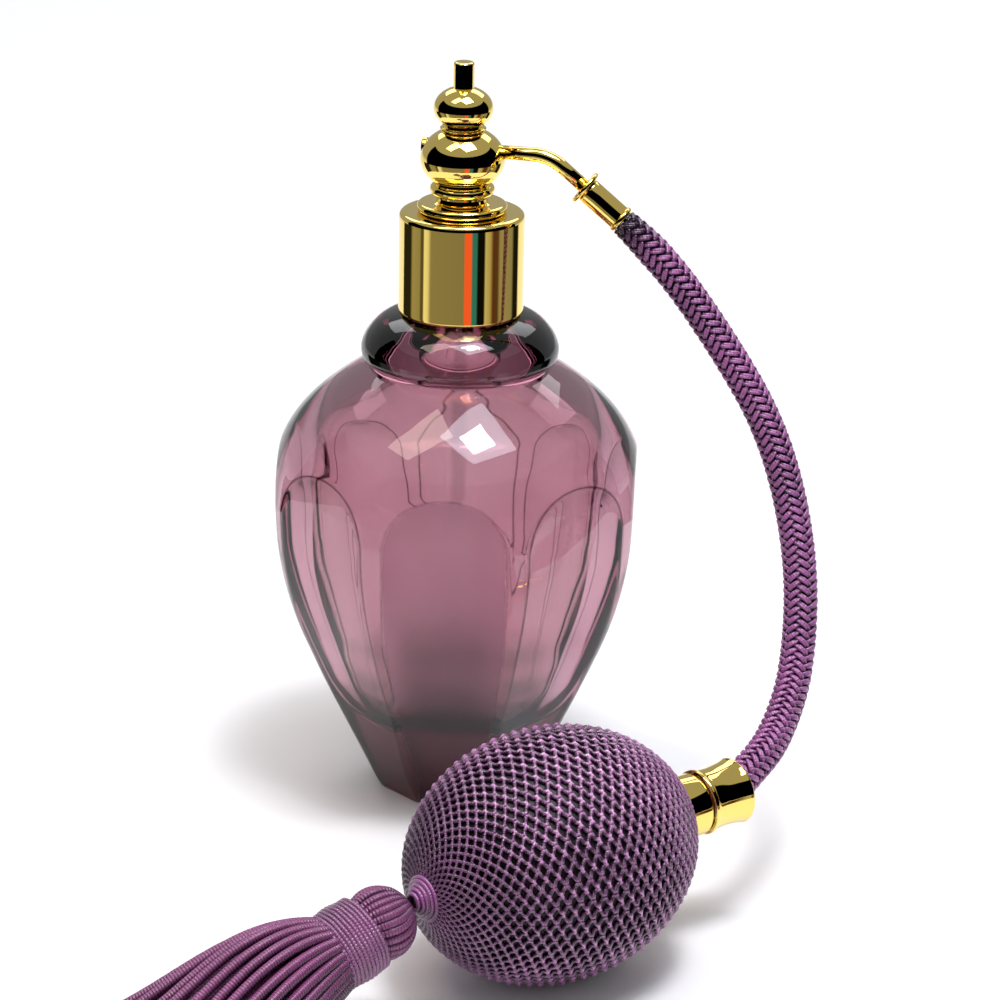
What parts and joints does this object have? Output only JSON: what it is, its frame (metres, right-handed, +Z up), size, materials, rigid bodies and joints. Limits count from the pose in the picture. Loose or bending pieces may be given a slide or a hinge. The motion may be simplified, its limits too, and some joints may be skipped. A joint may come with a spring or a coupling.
{
  "type": "bulb atomizer perfume bottle",
  "caption": "Faceted glass perfume bottle with a polished screw collar, ball-shaped spray head, braided air hose, netted squeeze bulb and tassel.",
  "frame": {"origin": "centre of the bottle's base, on the surface it stands on", "axes": "+Z up along the bottle's axis; -Y is the normal of the frosted front panel; the hose leaves towards +X and the bulb lies towards -Y"},
  "size_m": [0.1337, 0.1963, 0.1456],
  "materials": {
    "amethyst_glass": "clear mauve glass, front panel frosted",
    "polished_gold": "mirror-polished gold plate",
    "plain_brass": "turned, unplated",
    "purple_textile": "glossy twisted cord, plum",
    "hose_rubber": "smooth extruded tube",
    "bulb_rubber": "smooth moulded rubber",
    "natural_plastic": "natural polypropylene",
    "clear_plastic": "clear polyethylene tube",
    "white_seal": "foamed polyethylene disc",
    "spring_steel": "plain spring steel",
    "valve_steel": "polished ball"
  },
  "bodies": {
    "bottle": {"glass_bottle": "amethyst_glass"},
    "seal": {"neck_gasket": "white_seal"},
    "carrier": {"swivel_bushing": "natural_plastic"},
    "collar": {"collar_shell": "polished_gold", "collar_liner": "natural_plastic"},
    "head": {"head_flange": "polished_gold", "atomizer_body": "polished_gold", "top_ball": "polished_gold", "finial_pin": "polished_gold", "stem": "natural_plastic", "stem_clip": "spring_steel", "dip_tube": "clear_plastic", "mixing_insert": "plain_brass", "spray_nozzle": "plain_brass", "air_elbow": "polished_gold", "elbow_ring": "polished_gold", "hose_ferrule": "polished_gold", "hose_inner_tube": "hose_rubber", "hose_braid": "purple_textile", "bulb_net": "purple_textile", "rubber_bulb": "bulb_rubber", "bulb_collar": "polished_gold", "hose_socket": "polished_gold", "outlet_valve_body": "natural_plastic", "outlet_barb": "plain_brass", "inlet_valve_body": "natural_plastic", "tail_knot": "purple_textile"},
    "outlet_valve": {"outlet_valve_ball": "valve_steel"},
    "inlet_valve": {"inlet_valve_ball": "valve_steel"},
    "tassel": {"tassel_head": "purple_textile", "tassel_band": "purple_textile", "tassel_skirt": "purple_textile"}
  },
  "joints": [
    {"name": "lift_off", "type": "slide", "parent": "bottle", "child": "seal", "axis": [0, 0, 1], "range_m": [0, 0.1]},
    {"name": "thread_rise", "type": "slide", "parent": "seal", "child": "carrier", "axis": [0, 0, 1], "range_m": [0, 0.00451]},
    {"name": "collar_turn", "type": "hinge", "parent": "carrier", "child": "collar", "pos_m": [0, 0, 0.11], "axis": [0, 0, 1], "range_deg": [0, 540]},
    {"name": "head_swivel", "type": "hinge", "parent": "carrier", "child": "head", "pos_m": [0, 0, 0.12], "axis": [0, 0, 1], "continuous": true},
    {"name": "outlet_valve_lift", "type": "slide", "parent": "head", "child": "outlet_valve", "axis": [0.7608, 0.6475, 0.0436], "range_m": [0, 0.001]},
    {"name": "inlet_valve_lift", "type": "slide", "parent": "head", "child": "inlet_valve", "axis": [0.7608, 0.6475, 0.0436], "range_m": [0, 0.001]},
    {"name": "tassel_swing", "type": "hinge", "parent": "head", "child": "tassel", "pos_m": [0.00088, -0.10337, 0.02146], "axis": [0, 0, 1], "range_deg": [-30, 30]}
  ],
  "couplings": [
    {"joint": "thread_rise", "follows": "collar_turn", "m_per_rad": 0.00047746}
  ]
}
